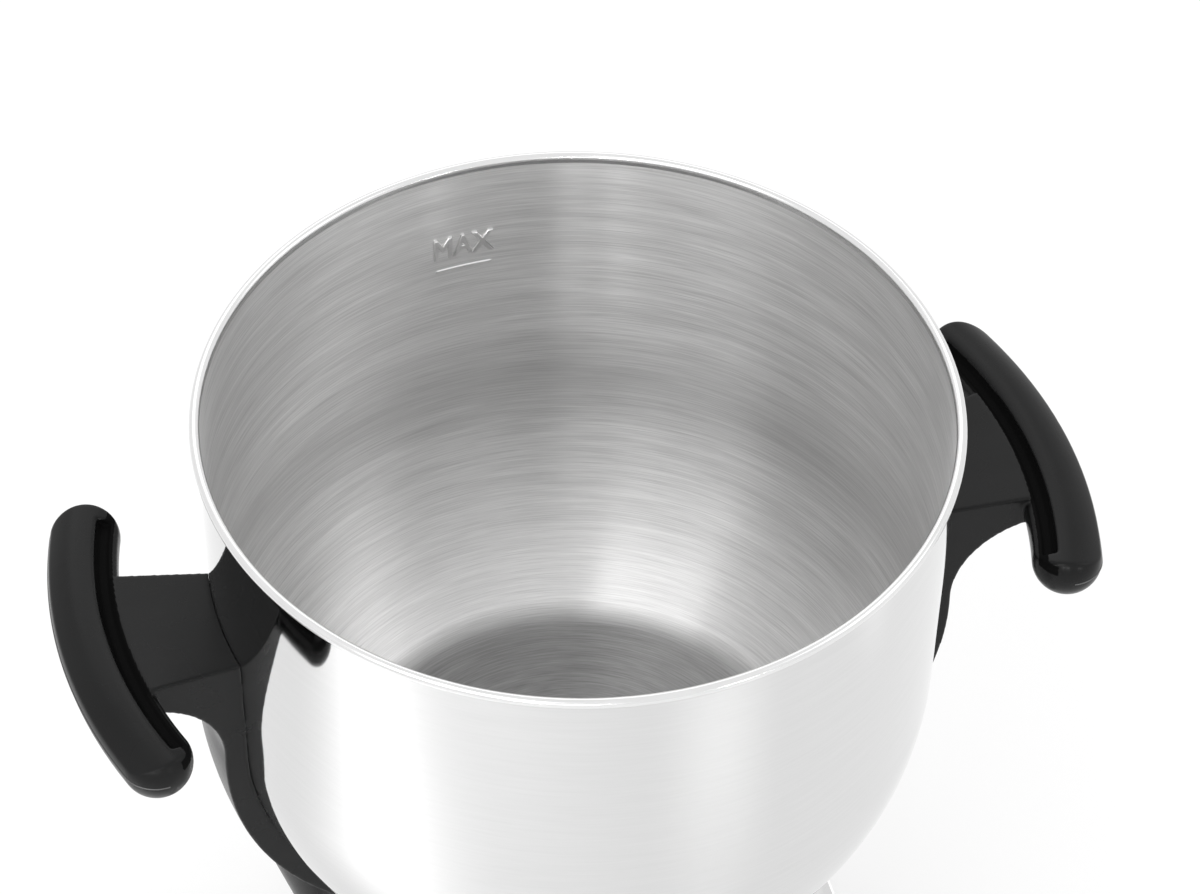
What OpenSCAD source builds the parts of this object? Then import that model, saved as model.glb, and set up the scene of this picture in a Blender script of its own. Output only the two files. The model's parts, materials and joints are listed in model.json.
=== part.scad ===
// Electric samovar: open steel vessel with two moulded handles, flared foot, heater base and no-drip tap.
// Millimetres, +Z up. The origin is on the table under the vessel's axis, the tap points to -Y,
// and the handles lie on +X and -X.

/* [Vessel] */
// Height of the rim above the table
rim_h = 326; // [320:1:327]
// Inside radius at the rolled rim
rim_r = 115; // [112:1:118]
// Depth from the rim to the inside floor
vessel_depth = 178; // [174:1:182]
// Sheet thickness of the vessel
wall = 1; // [0.8:0.1:1.4]
// Diameter of the rolled rim bead
bead_d = 3.2; // [2.6:0.1:4]
// Depth below the rim at which the wall starts to round in
belly_start = 101; // [99:1:103]
// Radius of the belly's round
belly_round = 102.5; // [101:0.5:105]

/* [Handles] */
// Height of the arm's top face at the grip, below the rim
arm_drop = 55.5; // [53:0.5:58]
// Thickness of the arm at the grip
arm_t = 10; // [9:0.5:11]
// Width of the arm at the grip
arm_w = 51; // [48:1:54]
// Distance from the vessel's axis to the middle of the grip
grip_reach = 153.4; // [152:0.1:157]
// Diameter of the grip
grip_d = 22; // [21:0.5:23]
// Length of the grip from end to end, measured across
grip_len = 117; // [108:1:124]
// Gap between the handle and the vessel wall
handle_gap = 0.4; // [0.3:0.1:1]

/* [Foot] */
// Radius of the pedestal's lower edge
pedestal_r = 94.5; // [92:0.5:94.5]
// Radius of the hollow curve of the pedestal
pedestal_hollow = 60; // [56:1:75]
// Height of the base housing's deck
deck_h = 62; // [60:1:64]
// Radius of the base housing at the bottom
base_r = 101; // [100:0.5:103]
// Distance from the axis to the flat control panel
panel_y = 88; // [87:0.5:89]
// Height of the controls above the table
panel_h = 30; // [29:0.5:31]

/* [Tap] */
// Height of the tap's shank above the table
tap_h = 181; // [178:1:184]
// Distance from the vessel's axis to the tap's upright barrel
tap_reach = 158; // [155:1:164]
// Rise of the stem when the lever is pressed right down
tap_lift = 5; // [3.5:0.5:5.5]
// Angle through which the lever is pressed
lever_swing = 30; // [25:1:32]
// Angle of the lever above level, at rest
lever_rise = 38; // [35:1:42]

/* [Hidden] */
$fn = 96;

// Vessel: the wall leans in a little, and the belly's arc starts tangent to it
wall_r = rim_r + 1;
belly_r = wall_r - 2;
wall_lean = atan((wall_r - belly_r) / belly_start);
belly_z = rim_h - belly_start;
floor_z = rim_h - vessel_depth - wall;
weld_z = belly_z + 2;
weld_gap = 0.02;
belly_centre = [belly_r - belly_round * cos(wall_lean), belly_z + belly_round * sin(wall_lean)];
floor_drop = belly_centre[1] - floor_z - wall;
floor_disc_r = belly_centre[0] + sqrt(pow(belly_round - wall, 2) - pow(floor_drop, 2)) - 1.2;

// Handles: the tail is a strap that follows the belly, and the arch under the arm runs into its face
arm_end_u = grip_reach - 6.5;
arm_root_w = 41;
arm_slope = 3.2;
tail_t = 7.4;
tail_sink = 3;
tail_tip_w = 36;
tail_tip_u = 82;
tail_len = 183;
tail_centre = belly_centre - [0, tail_sink];
arch_z = rim_h - 97.7;
arch_r = rim_h - arm_drop - arm_t - arch_z + 0.5;
arch_rise = asin((arch_z - tail_centre[1]) / (belly_round + tail_t + arch_r));
arch_ahead = [cos(arch_rise), sin(arch_rise)];
arch_centre = tail_centre + (belly_round + tail_t + arch_r) * arch_ahead;
grip_z = rim_h - arm_drop - 6;
grip_half_angle = asin((grip_len - grip_d) / 2 / grip_reach);
grip_crown_r = 17;
grip_crown_drop = 10;
groove_in_u = grip_reach - 9;
groove_w = 5.4;
groove_deep = 2.6;
tongue_z = rim_h - arm_drop - 18;
tongue = [13, 20, 2.8];
screw_u = 93;
screw_z = belly_centre[1] - sqrt(pow(belly_round, 2) - pow(screw_u - belly_centre[0], 2));
screw_lean = 9;
spud_r = 5;
spud_h = 8;
boss_r = 15.5;
boss_root = 16;
boss_tip_r = 8.2;
boss_h = 37;

// Foot
gasket_t = 2;
pedestal_top_r = 75;
pedestal_top_z = floor_z - gasket_t;
pedestal_edge_z = deck_h + 4;
pedestal_t = 1;
base_foot_z = 4;
base_t = 2.5;
base_edge = 1.2;
base_top_r = base_r - 4.8;
brow_z = deck_h - 9.5;
rear_y = panel_y + 2;
deck_bore_r = 50;
plate_z = 6;
plate_t = 2;
post_x = 70;
post_y = 36;
post_r = 4.5;
foot_x = 50;
foot_y = 56;
heater_t = 8;
rod_r = 4;
bar_t = 4;
nut_t = 6.5;
nut_af = 13;
element_r = 44;
element_tube_r = 4;
side_x = 30;
shaft_r = 3;
running_gap = 0.05;
rocker_w = 10.4;
rocker_tilt = 9;
rocker_pivot_y = panel_y - 1;
rocker_pin_r = 1.2;
rocker_pin_x = 6.3;
blade = [2, 4];
blade_pitch = 7;
inlet_screw_x = 20;

// Tap: every height is counted from the shank's axis
bush_r = 15;
bush_in_y = 88;
bush_out_y = 113;
shank_r = 8;
shank_in_y = 75;
water_bore_r = 5.5;
washer_t = 2;
barrel_r = 15;
chamber_r = 11.5;
seat_z = tap_h - 6;
barrel_top_z = tap_h + 22;
nozzle_z = tap_h - 40;
bonnet_top_z = tap_h + 40;
bonnet_roof = 5;
bonnet_r = 18;
stem_r = 3;
collar_z = tap_h + 7;
pin_z = bonnet_top_z + 8;
pin_r = 2;
cheek_gap = 3.2;
cheek_x = 7.2;
cam_rate = tap_lift / (lever_swing * PI / 180);
cam_base = pin_z - bonnet_top_z - 0.15;
lever_len = 62;
spring_r = 5.6;
spring_wire = 1.2;
spring_turns = 7;

function lerp(a, b, t) = a + (b - a) * t;
function unit(v) = v / norm(v);

// Point of a cubic curve with four control points
function curve_point(c, t) =
    pow(1 - t, 3) * c[0] + 3 * t * pow(1 - t, 2) * c[1] + 3 * t * t * (1 - t) * c[2] + pow(t, 3) * c[3];

// Centre of the circle of radius r through a and b, on the right hand of the way from a to b
function arc_centre(a, b, r) =
    let(half = (b - a) / 2, side = [half[1], -half[0]] / norm(half))
    (a + b) / 2 - side * sqrt(r * r - half * half);

// Direction of a path at point i
function heading(path, i) = unit(path[min(i + 1, len(path) - 1)] - path[max(i - 1, 0)]);

// Round tube along a path
module tube(path, r, sides = 6) {
    rings = len(path);
    points = [
        for (i = [0 : rings - 1])
            let(ahead = heading(path, i), across = unit(cross(ahead, [0.31, 0.17, 0.94])), up = cross(across, ahead))
            for (k = [0 : sides - 1])
                path[i] + r * (across * cos(360 * k / sides) + up * sin(360 * k / sides))
    ];
    near_cap = [for (k = [sides - 1 : -1 : 0]) k];
    far_cap = [for (k = [0 : sides - 1]) (rings - 1) * sides + k];
    skin = [
        for (i = [0 : rings - 2], k = [0 : sides - 1], half = [0, 1])
            let(a = i * sides + k, b = i * sides + (k + 1) % sides)
            half == 0 ? [a, b, a + sides] : [b, b + sides, a + sides]
    ];
    polyhedron(points, concat([near_cap, far_cap], skin));
}

// Cylinder that lies along Y, from y0 out to y1 on the front side
module front_cylinder(r, y0, y1, x = 0, z = 0, sides = 96) {
    translate([x, -y0, z])
        rotate([90, 0, 0])
            cylinder(r = r, h = y1 - y0, $fn = sides);
}

// Box given by its lowest corner and its highest corner
module box(low, high) {
    translate(low)
        cube(high - low);
}

module ring(r_out, r_in, h) {
    difference() {
        cylinder(r = r_out, h = h);
        translate([0, 0, -1])
            cylinder(r = r_in, h = h + 2);
    }
}

module hex_nut(af, h, bore_r) {
    difference() {
        cylinder(r = af / sqrt(3), h = h, $fn = 6);
        translate([0, 0, -1])
            cylinder(r = bore_r, h = h + 2);
    }
}

// Half section of the vessel's outside, grown outwards by a set amount.
// The straight wall is sunk a hair into the belly's round, so that the two cross cleanly.
module vessel_outline(grow, top) {
    seam = 0.04;
    low = floor_z - grow;
    start = belly_centre + (belly_round + grow) * [cos(wall_lean), -sin(wall_lean)];
    wall_at = [for (z = [low, top]) [start[0] - seam + (z - start[1]) * tan(wall_lean), z]];
    difference() {
        polygon([[0, low], wall_at[0], wall_at[1], [0, top]]);
        difference() {
            translate([belly_centre[0], low - 1])
                square([2 * belly_round, start[1] - low + 1]);
            translate(belly_centre)
                circle(belly_round + grow, $fn = 360);
        }
    }
}

// Half section of the vessel's sheet, without its rim
module vessel_sheet() {
    difference() {
        vessel_outline(0, rim_h - bead_d / 2);
        vessel_outline(-wall, rim_h + 1);
    }
}

// Rolled wall with the bead round its rim
module vessel() {
    color("gainsboro")
    rotate_extrude($fn = 180) {
        intersection() {
            vessel_sheet();
            translate([rim_r / 2, weld_z])
                square([rim_r, rim_h]);
        }
        translate([rim_r + bead_d / 2 - 0.2, rim_h - bead_d / 2])
            circle(d = bead_d, $fn = 48);
    }
}

// Pressed bowl under the wall, with the hole for the tap's bush
module vessel_bowl() {
    color("gainsboro")
    difference() {
        rotate_extrude($fn = 180)
            intersection() {
                vessel_sheet();
                translate([floor_disc_r, 0])
                    square([rim_r, weld_z]);
            }
        front_cylinder(bush_r + weld_gap, bush_in_y - 5, bush_out_y + 5, 0, tap_h);
    }
}

// Flat floor disc that closes the bowl
module vessel_floor() {
    color("gainsboro")
    translate([0, 0, floor_z])
        cylinder(r = floor_disc_r - weld_gap, h = wall, $fn = 180);
}

// Bush welded through the bowl for the tap's shank
module tap_bush() {
    color("gainsboro")
    difference() {
        front_cylinder(bush_r, bush_in_y, bush_out_y, 0, tap_h);
        front_cylinder(shank_r + 0.3, bush_in_y - 1, bush_out_y + 1, 0, tap_h);
    }
}

// Half section of arm and tail
module arm_section() {
    top_z = rim_h - arm_drop;
    root_z = top_z - arm_slope;
    low_z = rim_h - tail_len;
    difference() {
        polygon([[60, low_z], [arm_end_u, low_z], [arm_end_u, top_z], [belly_r, root_z], [60, root_z]]);
        translate(arch_centre)
            circle(arch_r);
        difference() {
            polygon([tail_centre, tail_centre + 300 * arch_ahead, [300, low_z - 1], [tail_centre[0], low_z - 1]]);
            translate(tail_centre)
                circle(belly_round + tail_t, $fn = 360);
        }
    }
}

// Fan-shaped arm with the tail under it
module arm_and_tail() {
    intersection() {
        rotate_extrude($fn = 180)
            arm_section();
        translate([0, 0, rim_h - tail_len - 1])
            linear_extrude(height = tail_len)
                polygon([
                    [tail_tip_u, -tail_tip_w / 2], [belly_r, -arm_root_w / 2], [arm_end_u, -arm_w / 2],
                    [arm_end_u, arm_w / 2], [belly_r, arm_root_w / 2], [tail_tip_u, tail_tip_w / 2]
                ]);
    }
}

// Grip: a round bar that follows the vessel, with ball ends and a top that is a little flattened.
// The balls are a hair larger than the bar and have their poles along it, so that they join cleanly.
module grip() {
    intersection() {
        union() {
            rotate([0, 0, -grip_half_angle])
                rotate_extrude(angle = 2 * grip_half_angle, $fn = 240)
                    translate([grip_reach, grip_z])
                        circle(d = grip_d);
            for (side = [-1, 1])
                rotate([0, 0, side * grip_half_angle])
                    translate([grip_reach, 0, grip_z])
                        rotate([90, 0, 0])
                            sphere(d = grip_d + 0.06);
        }
        rotate_extrude($fn = 240)
            translate([grip_reach, grip_z - grip_crown_drop])
                circle(grip_crown_r);
    }
}

// Channel between the arm's top face and the grip
module grip_groove() {
    half_angle = grip_half_angle + 1.2;
    top_z = rim_h - arm_drop;
    mouth_in = groove_in_u - 0.6;
    mouth_out = groove_in_u + groove_w + 0.6;
    rotate([0, 0, -half_angle])
        rotate_extrude(angle = 2 * half_angle, $fn = 240)
            polygon([
                [mouth_in, top_z + 2], [groove_in_u + 0.2, top_z - 0.7], [groove_in_u + 1.6, top_z - groove_deep],
                [groove_in_u + groove_w - 1.6, top_z - groove_deep], [groove_in_u + groove_w - 0.2, top_z - 0.7],
                [mouth_out, top_z + 2]
            ]);
}

// Hangs children from the belly, at the handle's lower screw, with +Z down along the screw
module at_handle_screw() {
    translate([screw_u, 0, screw_z])
        rotate([0, 180 + screw_lean, 0])
            children();
}

module handle() {
    color("#1c1c1e")
    difference() {
        union() {
            arm_and_tail();
            grip();
            at_handle_screw()
                translate([0, 0, -boss_root])
                    cylinder(r1 = boss_r, r2 = boss_tip_r, h = boss_root + boss_h);
        }
        grip_groove();
        rotate_extrude($fn = 180)
            vessel_outline(handle_gap, rim_h + 1);
        translate([belly_r - 3, -tongue[1] / 2 - 0.3, tongue_z - tongue[2] / 2 - 0.3])
            cube([tongue[0] + 4, tongue[1] + 0.6, tongue[2] + 0.6]);
        at_handle_screw() {
            translate([0, 0, -14])
                cylinder(r = spud_r + 0.4, h = spud_h + 14.4);
            cylinder(r = 2.3, h = boss_h + 1);
            translate([0, 0, spud_h + 3])
                cylinder(r = 4.6, h = boss_h);
        }
    }
}

// Repeats children for the right handle and, mirrored, for the left one
module both_handles() {
    children();
    mirror([1, 0, 0])
        children();
}

module handle_right() {
    handle();
}

module handle_left() {
    mirror([1, 0, 0])
        handle();
}

module handle_tongues() {
    color("silver")
    both_handles()
        difference() {
            translate([belly_r - 4, -tongue[1] / 2, tongue_z - tongue[2] / 2])
                cube([tongue[0] + 4, tongue[1], tongue[2]]);
            rotate_extrude($fn = 180)
                vessel_outline(0.02, rim_h + 1);
        }
}

module handle_spuds() {
    color("silver")
    both_handles()
        difference() {
            at_handle_screw()
                translate([0, 0, -12])
                    ring(spud_r, 2, spud_h + 12);
            rotate_extrude($fn = 180)
                vessel_outline(0.02, rim_h + 1);
        }
}

module handle_screws() {
    color("dimgray")
    both_handles()
        at_handle_screw() {
            translate([0, 0, 4.4])
                cylinder(r = 1.9, h = spud_h - 1);
            translate([0, 0, spud_h + 3])
                cylinder(r = 4, h = 2.6);
        }
}

module base_gasket() {
    color("#b8b8b0")
    translate([0, 0, pedestal_top_z])
        ring(pedestal_top_r - 1, 61, gasket_t);
}

module heater_plate() {
    color("lightgray")
    difference() {
        translate([0, 0, floor_z - heater_t])
            ring(57, rod_r + 0.5, heater_t);
        translate([0, 0, floor_z - heater_t - 1])
            rotate_extrude()
                translate([element_r, 0])
                    circle(element_tube_r + 0.2);
    }
}

module heating_element() {
    tube_z = floor_z - heater_t - 1;
    tail_angle = 24;
    color("slategray") {
        rotate([0, 0, tail_angle])
            rotate_extrude(angle = 360 - 2 * tail_angle, $fn = 144)
                translate([element_r, tube_z])
                    circle(element_tube_r);
        for (side = [-1, 1])
            rotate([0, 0, side * tail_angle])
                translate([element_r, 0, tube_z - 22]) {
                    cylinder(r = element_tube_r - 0.5, h = 22);
                    translate([0, 0, -8])
                        cylinder(r = 1.3, h = 9);
                }
    }
}

module thermal_cutout() {
    disc_h = 7;
    color("tan")
    translate([-20, 0, floor_z - heater_t - disc_h]) {
        cylinder(r = 8.5, h = disc_h);
        for (side = [-1, 1])
            box([-3, side * 6 - 0.4, -8], [3, side * 6 + 0.4, 0.5]);
    }
}

module thermostat_bulb() {
    bulb_z = floor_z - heater_t - 3.2;
    bulb = [20, -20, bulb_z];
    neck = [[20, -19, bulb_z], [20, -44, bulb_z], [9, -30, panel_h + 11], [8, -66, panel_h + 13.1]];
    color("peru") {
        front_cylinder(3, -22, -bulb[1], bulb[0], bulb_z);
        tube([for (i = [0 : 18]) curve_point(neck, i / 18)], 1.1);
    }
}

module tie_rod() {
    color("silver")
    translate([0, 0, 44])
        cylinder(r = rod_r, h = floor_z - 44);
}

module tie_nuts() {
    color("silver")
    for (z = [floor_z - heater_t - nut_t, deck_h - base_t - bar_t - nut_t])
        translate([0, 0, z])
            hex_nut(nut_af, nut_t, rod_r + 0.05);
}

module clamp_bar() {
    top = deck_h - base_t;
    color("silver")
    difference() {
        box([-60, -8, top - bar_t], [60, 8, top]);
        translate([0, 0, top - bar_t - 1])
            cylinder(r = rod_r + 0.4, h = bar_t + 2);
    }
}

// Steel pedestal: a flange under the vessel, a hollow curve and a short upright edge on the deck
module pedestal() {
    top = [pedestal_top_r, pedestal_top_z];
    edge = [pedestal_r, pedestal_edge_z];
    centre = arc_centre(top, edge, pedestal_hollow);
    color("gainsboro")
    rotate_extrude($fn = 180) {
        difference() {
            intersection() {
                translate(centre)
                    circle(pedestal_hollow + pedestal_t, $fn = 180);
                translate([55, edge[1]])
                    square([pedestal_r - 55, top[1] - edge[1]]);
            }
            translate(centre)
                circle(pedestal_hollow, $fn = 180);
        }
        translate([60, top[1] - pedestal_t])
            square([top[0] - 60, pedestal_t]);
        translate([pedestal_r - pedestal_t, deck_h])
            square([pedestal_t, edge[1] - deck_h + 0.5]);
    }
}

// Half section of the base housing, shrunk by a set amount, with a bevelled edge round the outside of the deck
module base_outline(shrink) {
    top_z = deck_h - shrink;
    top_r = base_top_r - shrink;
    low_z = shrink > 0 ? base_foot_z - 1 : base_foot_z;
    edge = max(base_edge - shrink, 0.2);
    polygon([
        [0, low_z], [base_r - shrink, low_z], [top_r, top_z - edge], [top_r - edge, top_z], [0, top_z]
    ]);
}

// Turned base body with a flat front panel and a flat rear face, both under the brow of the deck
module base_body(shrink) {
    wide = base_r + 1;
    difference() {
        rotate_extrude($fn = 180)
            base_outline(shrink);
        box([-wide, -wide, 0], [wide, shrink - panel_y, brow_z + shrink]);
        box([-wide, rear_y - shrink, 0], [wide, wide, brow_z + shrink]);
    }
}

// Repeats children in the four corners of a rectangle
module four_corners(x, y) {
    for (side_a = [-1, 1], side_b = [-1, 1])
        translate([side_a * x, side_b * y, 0])
            children();
}

module base_housing() {
    color("#222224")
    difference() {
        union() {
            difference() {
                base_body(0);
                base_body(base_t);
            }
            translate([0, 0, deck_h - 1])
                ring(pedestal_r - pedestal_t - 0.4, pedestal_r - pedestal_t - 2.4, 3);
            four_corners(post_x, post_y)
                translate([0, 0, plate_z + plate_t])
                    cylinder(r = post_r, h = deck_h - plate_z - plate_t - 1);
        }
        translate([0, 0, deck_h - 10])
            cylinder(r = deck_bore_r, h = 20);
        four_corners(post_x, post_y)
            translate([0, 0, plate_z])
                cylinder(r = 2, h = 20);
        front_cylinder(5, panel_y - 5, panel_y + 5, 0, panel_h);
        front_cylinder(5, panel_y - 5, panel_y + 5, -side_x, panel_h);
        box([side_x - 6.8, -panel_y - 5, panel_h - 10.6], [side_x + 6.8, -panel_y + 5, panel_h + 10.6]);
        box([-13.8, rear_y - 5, panel_h - 10.1], [13.8, rear_y + 5, panel_h + 10.1]);
        for (side = [-1, 1])
            front_cylinder(1.65, -rear_y - 5, -rear_y + 5, side * inlet_screw_x, panel_h);
    }
}

module base_plate() {
    slot = [26, 3.2];
    color("silver")
    difference() {
        intersection() {
            translate([0, 0, plate_z])
                cylinder(r = base_r - base_t - 1.5, h = plate_t);
            box([-base_r, base_t + 0.6 - panel_y, 0], [base_r, rear_y - base_t - 0.6, deck_h]);
        }
        translate([0, 0, -1]) {
            four_corners(foot_x, foot_y)
                cylinder(r = 3.05, h = 20);
            four_corners(post_x, post_y)
                cylinder(r = 2.2, h = 20);
        }
        for (row = [-2 : 2], side = [-1, 1])
            translate([side * 20 - slot[0] / 2, row * 9 - slot[1] / 2, 0])
                cube([slot[0], slot[1], 20]);
    }
}

module base_screws() {
    head_h = 2.2;
    color("silver")
    four_corners(post_x, post_y) {
        translate([0, 0, plate_z - head_h])
            cylinder(r = 3.6, h = head_h);
        translate([0, 0, plate_z - 0.5])
            cylinder(r = 1.9, h = 14);
    }
}

// Rubber feet that snap into the base plate
module feet() {
    top = plate_z + plate_t;
    color("#2b2b2b")
    four_corners(foot_x, foot_y)
        rotate_extrude()
            polygon([
                [0, 0], [9, 0], [10, 1], [11, plate_z], [3, plate_z], [3, top],
                [4.2, top], [3, top + 3], [0, top + 3]
            ]);
}

module thermostat() {
    back_y = 54;
    front_y = panel_y - base_t;
    color("#d8d2c0")
    difference() {
        union() {
            box([-16, -front_y, panel_h - 12], [16, -front_y + 3, panel_h + 12]);
            box([-13, -front_y + 2, panel_h - 12], [13, -back_y, panel_h + 12]);
        }
        front_cylinder(shaft_r + running_gap, front_y - 14, front_y + 1, 0, panel_h);
    }
}

module thermostat_shaft() {
    front_y = panel_y + 15;
    color("silver")
    difference() {
        front_cylinder(shaft_r, panel_y - base_t - 12, front_y, 0, panel_h);
        box([-5, -front_y - 1, panel_h + 1.5], [5, -panel_y - 4, panel_h + 5]);
    }
}

module control_knob() {
    skirt_y = panel_y + 1.4;
    grip_y = skirt_y + 5;
    face_y = skirt_y + 18;
    flutes = 16;
    color("#1c1c1e")
    difference() {
        union() {
            front_cylinder(17, skirt_y, grip_y, 0, panel_h);
            front_cylinder(13, skirt_y, face_y, 0, panel_h);
            box([-1.2, -face_y - 0.8, panel_h + 2], [1.2, -skirt_y - 1, panel_h + 15]);
        }
        for (i = [1 : flutes - 1])
            let(turn = 360 * i / flutes)
            front_cylinder(1.6, grip_y, face_y + 2, 13.9 * sin(turn), panel_h + 13.9 * cos(turn), 32);
        difference() {
            front_cylinder(shaft_r + 0.02, skirt_y - 1, panel_y + 15.2, 0, panel_h);
            box([-5, -face_y, panel_h + 1.52], [5, -panel_y - 4.2, panel_h + 5]);
        }
    }
}

module dial_ring() {
    color("silver")
    difference() {
        front_cylinder(21, panel_y, panel_y + 1, 0, panel_h);
        front_cylinder(5.5, panel_y - 1, panel_y + 2, 0, panel_h);
    }
}

module lamp_holder() {
    color("#2a2a2c")
    difference() {
        union() {
            front_cylinder(6.5, panel_y, panel_y + 2, -side_x, panel_h);
            front_cylinder(4.9, panel_y - 20, panel_y + 1, -side_x, panel_h);
        }
        front_cylinder(4.3, panel_y - 3, panel_y + 3, -side_x, panel_h);
    }
}

// Lens with a domed face, turned about its own axis
module lamp_lens() {
    dome_r = 6;
    lens_r = 4.2;
    front_y = panel_y + 2.5;
    dome_y = front_y - sqrt(dome_r * dome_r - lens_r * lens_r);
    color("orangered")
    translate([-side_x, 0, panel_h])
        rotate([90, 0, 0])
            rotate_extrude()
                difference() {
                    translate([0, panel_y - 2.9])
                        square([lens_r, 12]);
                    difference() {
                        translate([-1, front_y])
                            square([lens_r + 2, 12]);
                        translate([0, dome_y])
                            circle(dome_r);
                    }
                }
}

module switch_housing() {
    color("#2a2a2c")
    difference() {
        union() {
            box([side_x - 7.6, -panel_y - 2, panel_h - 11.6], [side_x + 7.6, -panel_y, panel_h + 11.6]);
            box([side_x - 6.6, -panel_y - 1, panel_h - 10.4], [side_x + 6.6, -panel_y + 20, panel_h + 10.4]);
        }
        box([side_x - 5.6, -panel_y - 3, panel_h - 9.4], [side_x + 5.6, -panel_y + 6, panel_h + 9.4]);
        rocker_pin(rocker_pin_r + running_gap, rocker_pin_x + 1);
    }
}

// Pivot pin of the rocker, which sits in the two side walls of its housing
module rocker_pin(r, half_len) {
    translate([side_x - half_len, -rocker_pivot_y, panel_h])
        rotate([0, 90, 0])
            cylinder(r = r, h = 2 * half_len, $fn = 48);
}

// Rocker with a dished face, drawn tipped to its off position
module switch_rocker() {
    color("#3a3a3e") {
        translate([side_x - rocker_w / 2, -rocker_pivot_y, panel_h])
            rotate([-rocker_tilt, 0, 0])
                rotate([90, 0, 90])
                    linear_extrude(height = rocker_w)
                        difference() {
                            polygon([[-5.2, -8.2], [-5.2, 8.2], [1.5, 7.4], [3.4, 0], [1.5, -7.4]]);
                            translate([-24.2, 0])
                                circle(21, $fn = 180);
                        }
        rocker_pin(rocker_pin_r, rocker_pin_x);
    }
}

// Blades of the mains inlet: the middle one sits higher
module at_blades() {
    for (i = [-1 : 1])
        translate([i * blade_pitch, 0, panel_h + (i == 0 ? 2 : -1.5)])
            children();
}

module inlet_housing() {
    mouth_y = rear_y + 2.5;
    color("#242426")
    difference() {
        union() {
            box([-25, rear_y, panel_h - 11.5], [25, mouth_y, panel_h + 11.5]);
            box([-13.6, mouth_y - 25, panel_h - 9.9], [13.6, rear_y + 1, panel_h + 9.9]);
        }
        box([-12.2, mouth_y - 16, panel_h - 8.3], [12.2, mouth_y + 1, panel_h + 8.3]);
        at_blades()
            box([-blade[0] / 2 - 0.03, rear_y - 30, -blade[1] / 2 - 0.03],
                [blade[0] / 2 + 0.03, rear_y, blade[1] / 2 + 0.03]);
        for (side = [-1, 1])
            front_cylinder(1.65, -mouth_y - 1, -rear_y + 1, side * inlet_screw_x, panel_h);
    }
}

module inlet_pins() {
    color("goldenrod")
    at_blades()
        box([-blade[0] / 2, rear_y - 30, -blade[1] / 2], [blade[0] / 2, rear_y - 3.5, blade[1] / 2]);
}

module inlet_screws() {
    seat_y = rear_y + 2.5;
    color("silver")
    for (side = [-1, 1]) {
        front_cylinder(2.8, -seat_y - 1.8, -seat_y, side * inlet_screw_x, panel_h);
        front_cylinder(1.5, -seat_y - 1, -rear_y + 8, side * inlet_screw_x, panel_h);
    }
}

// Tap body: shank through the vessel's bush, upright barrel with valve seat, tapered nozzle
module tap_body() {
    flange_y = bush_out_y + washer_t;
    color("lightgray")
    difference() {
        union() {
            front_cylinder(shank_r, shank_in_y, flange_y + 1, 0, tap_h);
            front_cylinder(14, flange_y, flange_y + 4, 0, tap_h);
            front_cylinder(10, flange_y + 3, tap_reach - 8, 0, tap_h);
            translate([0, -tap_reach, 0])
                rotate_extrude()
                    polygon([
                        [0, nozzle_z], [8.5, nozzle_z], [9.5, nozzle_z + 1], [11.5, tap_h - 18],
                        [barrel_r, tap_h - 12], [barrel_r, barrel_top_z], [0, barrel_top_z]
                    ]);
        }
        front_cylinder(water_bore_r, shank_in_y - 1, tap_reach - 6, 0, tap_h);
        translate([0, -tap_reach, 0])
            rotate_extrude()
                polygon([
                    [0, nozzle_z - 1], [6, nozzle_z - 1], [6, seat_z + 2], [8, seat_z + 2], [8, seat_z],
                    [chamber_r, seat_z], [chamber_r, barrel_top_z + 1], [0, barrel_top_z + 1]
                ]);
    }
}

module tap_washers() {
    color("#8f2f22") {
        difference() {
            front_cylinder(13.5, bush_out_y, bush_out_y + washer_t, 0, tap_h);
            front_cylinder(shank_r + 0.1, bush_out_y - 1, bush_out_y + 5, 0, tap_h);
        }
        difference() {
            front_cylinder(13.5, bush_in_y - washer_t, bush_in_y, 0, tap_h);
            front_cylinder(shank_r + 0.1, bush_in_y - 5, bush_in_y + 1, 0, tap_h);
        }
    }
}

module tap_nut() {
    color("silver")
    translate([0, -bush_in_y + washer_t + 8, tap_h])
        rotate([90, 0, 0])
            hex_nut(24, 8, shank_r + 0.05);
}

// Cap that screws over the barrel, with finger flutes, a spring chamber and a guide for the stem
module tap_bonnet() {
    flutes = 14;
    color("lightgray")
    translate([0, -tap_reach, 0])
        difference() {
            rotate_extrude()
                polygon([
                    [stem_r + running_gap, bonnet_top_z], [15.4, bonnet_top_z], [bonnet_r, bonnet_top_z - 2.6],
                    [bonnet_r, barrel_top_z - 10], [barrel_r + 0.1, barrel_top_z - 10],
                    [barrel_r + 0.1, barrel_top_z], [7.4, barrel_top_z], [7.4, bonnet_top_z - bonnet_roof],
                    [stem_r + running_gap, bonnet_top_z - bonnet_roof]
                ]);
            for (i = [0 : flutes - 1])
                rotate([0, 0, 360 * (i + 0.5) / flutes])
                    translate([bonnet_r + 0.9, 0, barrel_top_z - 11])
                        cylinder(r = 2, h = bonnet_top_z - barrel_top_z + 7, $fn = 32);
        }
}

// Stem with the spring's collar below and a flat eye for the lever above
module tap_stem() {
    color("silver")
    translate([0, -tap_reach, 0])
        difference() {
            union() {
                translate([0, 0, seat_z + 4])
                    cylinder(r = stem_r, h = bonnet_top_z + 2 - seat_z - 4);
                translate([0, 0, collar_z - 2])
                    cylinder(r = 6.6, h = 2);
                box([-3, -4.5, bonnet_top_z + 0.4], [3, 4.5, pin_z]);
                translate([-3, 0, pin_z])
                    rotate([0, 90, 0])
                        cylinder(r = 4.5, h = 6);
            }
            translate([-5, 0, pin_z])
                rotate([0, 90, 0])
                    cylinder(r = pin_r + 0.02, h = 10);
        }
}

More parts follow.
